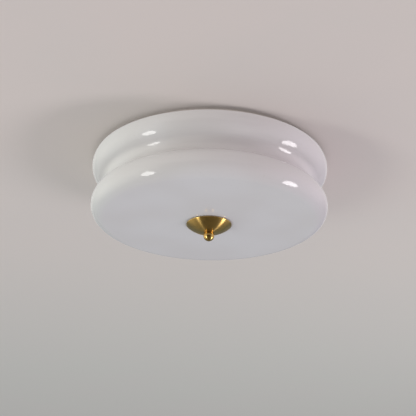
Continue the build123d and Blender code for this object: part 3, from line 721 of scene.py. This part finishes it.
def threaded_screws(node):
    """The CAD screws of a node, heads below, with threads on their shanks."""
    low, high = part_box(node)
    inset = Vector((screw_head_radius, screw_head_radius, 0))
    axes = [low + inset, high - inset]
    shoulder = low.z + screw_head_height
    length = high.z - shoulder
    thread = cut_thread(node + "_thread", screw_radius, screw_depth, screw_pitch, length,
                        screw_sides, zinc)
    shape = bmesh.new()
    shape.from_mesh(frame["nodes"][node].data)
    bmesh.ops.remove_doubles(shape, verts=shape.verts, dist=merged)
    for point in shape.verts:
        if point.co.z > shoulder + above_head:
            axis = min(axes, key=lambda place: (place - point.co).xy.length)
            point.co.xy = axis.xy + (point.co - axis).xy * core_radius / screw_radius
    for axis in axes:
        lay(shape, thread.data, Matrix.Translation((axis.x, axis.y, shoulder + length / 2)))
    shape.to_mesh(thread.data)
    shape.free()
    settle(thread, zinc, node)


threaded_screws("pan_screws")
threaded_screws("bracket_screws")

# %% [markdown]
# ## Bulb caps
# The cap of a bulb is thin nickel-plated sheet rolled into a coarse thread of five turns, with a
# plain band where it grips the body. Thread and band are the same cylinder rule, once with and
# once without depth, laid end to end along the lamp's axis.

# %% Roll the bulb caps
bulb_pitch = 0.0036
bulb_depth = 0.0007
bulb_turns = 5
bulb_sides = 72
rolled = bulb_pitch * bulb_turns


def lamp_place(side, along):
    """The matrix that lays a piece made about Z on a lamp's axis, at a distance from its back."""
    low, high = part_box(side + "_holder_base")
    middle = (low + high) / 2
    towards = 1 if side == "left" else -1
    back = low.y if side == "left" else high.y
    lay_down = Matrix.Rotation(-towards * pi / 2, 4, "X")
    return Matrix.Translation((middle.x, back + towards * along, middle.z)) @ lay_down


def roll_cap(side):
    """The cap of one bulb, with its plain band on the end of the thread."""
    low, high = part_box(side + "_bulb_cap")
    base_low, base_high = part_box(side + "_holder_base")
    start = low.y - base_low.y if side == "left" else base_high.y - high.y
    radius = (high.x - low.x) / 2
    band = high.y - low.y - rolled
    cap_piece = cut_thread(side + "_rolled_cap", radius, bulb_depth, bulb_pitch, rolled,
                           bulb_sides, nickel)
    band_piece = cut_thread(side + "_cap_band", radius, 0.0, bulb_pitch, band, bulb_sides, nickel)
    shape = bmesh.new()
    lay(shape, cap_piece.data, Matrix.Identity(4))
    lay(shape, band_piece.data, Matrix.Translation((0, 0, (rolled + band) / 2)))
    shape.to_mesh(cap_piece.data)
    shape.free()
    bpy.data.objects.remove(band_piece)
    settle(cap_piece, nickel, side + "_bulb_cap", lamp_place(side, start + rolled / 2))


for side in ("left", "right"):
    roll_cap(side)

# %% [markdown]
# ## The ceiling behind the light
# The light hangs on a pale ceiling, which is only a backdrop: it catches the soft shadows of the
# shade, and it shows from below only, so that the views from above see the mounting side. A plane
# whose back is transparent does both. It takes no part in lighting the object, and the strap that
# lies against it doesn't mirror it.

# %% Backdrop
def ceiling_finish():
    plaster = Finish("ceiling_plaster")
    trowel = plaster.noise(0.25, detail=3.0)
    grit = plaster.noise(0.004, detail=3.0)
    # Painted shade: the ceiling turns cooler and a little darker towards the far side, standing in
    # for the fall-off of the room's light.
    far = plaster.step(plaster.parts(plaster.place)[1], -0.3, 1.2)
    pale = plaster.mix(far, paint(214, 203, 198), paint(203, 202, 196))
    pale = plaster.mix(plaster.step(trowel, 0.3, 0.7) * 0.3, pale, paint(205, 200, 196))
    plaster.set(base_color=pale, roughness=0.9, normal=plaster.bump(grit, 0.0001))
    back = plaster.signal("ShaderNodeNewGeometry", output="Backfacing")
    front = Signal(plaster, plaster.shader.outputs["BSDF"])
    clear = plaster.signal("ShaderNodeBsdfTransparent")
    either = plaster.signal("ShaderNodeMixShader", {}, {0: back, 1: front, 2: clear})
    plaster.tree.links.new(either.socket, plaster.tree.nodes["Material Output"].inputs["Surface"])
    return plaster.material


ceiling_half = 40.0
ceiling_gap = 0.0004
corners = [(x * ceiling_half, y * ceiling_half, ceiling_gap)
           for x, y in ((-1, -1), (-1, 1), (1, 1), (1, -1))]
ceiling_mesh = bpy.data.meshes.new("ceiling")
ceiling_mesh.from_pydata(corners, [], [(0, 1, 2, 3)])
ceiling_mesh.materials.append(ceiling_finish())
ceiling = new_object("ceiling", ceiling_mesh)
ceiling.visible_diffuse = False
ceiling.visible_glossy = False
ceiling.visible_shadow = False
print("ceiling faces", ceiling_mesh.polygons[0].normal[:])

# %% [markdown]
# ## Two soft lights
# One soft light hangs to the left and one to the right, both below the ceiling: they give the two
# rows of glints on the ribs and the two soft shadows. Their directions follow from where the glints
# sit on the round glass. A rib is a tight curve one way and a wide one the other, so a round light
# would show as a thin line in it: each light is a long oval, tilted until its glint is a short one.

# %% Hang the lights
light_distance = 2.4
aim = Vector((0, 0, lower_level))


def soft_light(name, azimuth, elevation, tilt, width, height, radiance, colour):
    """An oval of light that faces the glass; radiance is what a mirror would show of it."""
    data = bpy.data.lights.new(name, "AREA")
    data.shape = "ELLIPSE"
    data.size = width
    data.size_y = height
    data.energy = radiance * pi * (pi / 4 * width * height)
    data.color = colour
    lamp = new_object(name, data)
    level_reach = cos(elevation)
    towards = Vector((level_reach * cos(azimuth), level_reach * sin(azimuth), sin(elevation)))
    lamp.location = aim + towards * light_distance
    upright = towards.to_track_quat("Z", "Y").to_matrix()
    lamp.rotation_euler = (upright @ Matrix.Rotation(tilt, 3, "Z")).to_euler()
    print(name, "at", [round(v, 2) for v in lamp.location], "with", round(data.energy, 1), "W")


soft_light("left_light", azimuth=radians(-154.5), elevation=radians(-35), tilt=radians(-17),
           width=0.52, height=1.05, radiance=7.5, colour=(1.0, 1.0, 0.97))
soft_light("right_light", azimuth=radians(3), elevation=radians(-37), tilt=radians(32),
           width=0.54, height=1.20, radiance=9.5, colour=(1.0, 0.96, 0.98))

# %% [markdown]
# ## The room
# All the rest of the light is the room, which the world gives: pale walls, brighter and greener on
# the left, dimmer on the near side, a darker and bluer floor, and the light that comes back from
# above. A few ramps over the direction are enough, because nothing shows the room sharply. What
# glass and brass mirror of it is a second, darker set of ramps: the far end lies in the shade, and
# the dark middle of the ball is the near side, where the viewer stands.

# %% Light the room
world = bpy.data.worlds.new("room")
bpy.context.scene.world = world
world.use_nodes = True
room = Graph(world.node_tree)
sideways, lengthways, upward = room.parts(room.signal("ShaderNodeTexCoord", output="Generated"))

to_right = room.step(sideways, -1.0, 0.4)
walls = room.mix(to_right, (1.50, 1.61, 1.46, 1), (1.12, 0.98, 1.09, 1))
from_near_side = room.step(lengthways, -1.0, -0.45)
walls = room.mix(from_near_side, (0.63, 0.56, 0.51, 1), walls)
from_floor = room.step(upward, -1.0, 0.0, smooth=False)
lower_half = room.mix(from_floor, (0.28, 0.32, 0.35, 1), walls)
to_top = room.step(upward, 0.0, 1.0, smooth=False)
ambient = room.mix(to_top, lower_half, (0.58, 0.565, 0.565, 1))

mirrored = room.mix(room.step(lengthways, 0.0, 0.7), (0.42, 0.40, 0.38, 1), (0.17, 0.20, 0.22, 1))
mirrored = room.mix(room.step(upward, -1.0, -0.35), (0.12, 0.11, 0.09, 1), mirrored)
mirrored = room.mix(room.step(lengthways, -0.9, -0.3), (0.05, 0.045, 0.04, 1), mirrored)
mirrored = room.mix(room.step(sideways, -0.95, -0.6), (1.0, 0.97, 0.90, 1), mirrored)
mirrored = room.mix(room.step(sideways, 0.6, 0.95), mirrored, (0.66, 0.62, 0.65, 1))
mirrored = room.mix(room.step(upward, 0.0, 0.35), mirrored, (0.62, 0.61, 0.60, 1))

plain_backdrop = paint(214, 211, 209)
rays = room.add("ShaderNodeLightPath").outputs
seen = room.mix(Signal(room, rays["Is Glossy Ray"]), ambient, mirrored)
seen = room.mix(Signal(room, rays["Is Camera Ray"]), seen, plain_backdrop)
world.node_tree.links.new(seen.socket, world.node_tree.nodes["Background"].inputs["Color"])
print("the room has", len(world.node_tree.nodes), "nodes")

# %% [markdown]
# ## Camera
# The light is seen from below and in front, through a long lens, with the camera turned by less
# than a degree. The numbers come from fitting the outline of the glass: distance, angle below the
# horizon, roll, focal length in pixels, and the pixel at which the middle of the lower rib lies.

# %% Camera
picture_size = 416
focal_pixels = 943.0
camera_distance = 1.2
camera_below = radians(23.2)
camera_roll = radians(0.85)
aim_pixel = (209.2, 210.5)
sensor_width = 36.0

camera_data = bpy.data.cameras.new("camera")
camera_data.sensor_width = sensor_width
camera_data.lens = sensor_width * focal_pixels / picture_size
camera_data.clip_start = 0.01
camera = new_object("camera", camera_data)
bpy.context.scene.camera = camera
outward = Vector((0, -cos(camera_below), -sin(camera_below)))
camera.location = aim + outward * camera_distance
level = outward.to_track_quat("Z", "Y").to_matrix()
aim_ray = Vector((aim_pixel[0] - picture_size / 2, picture_size / 2 - aim_pixel[1], -focal_pixels))
shift = Vector((0, 0, -1)).rotation_difference(aim_ray).to_matrix()
roll = Matrix.Rotation(camera_roll, 3, "Z")
camera.rotation_euler = (level @ roll @ shift.transposed()).to_euler()
print("camera at", [round(v, 3) for v in camera.location], "lens", round(camera_data.lens, 1))

# %% [markdown]
# ## View transform
# The colours stay as the lights give them, with no film curve, because the finishes were matched that
# way.

# %% View transform
bpy.context.scene.view_settings.view_transform = "Standard"
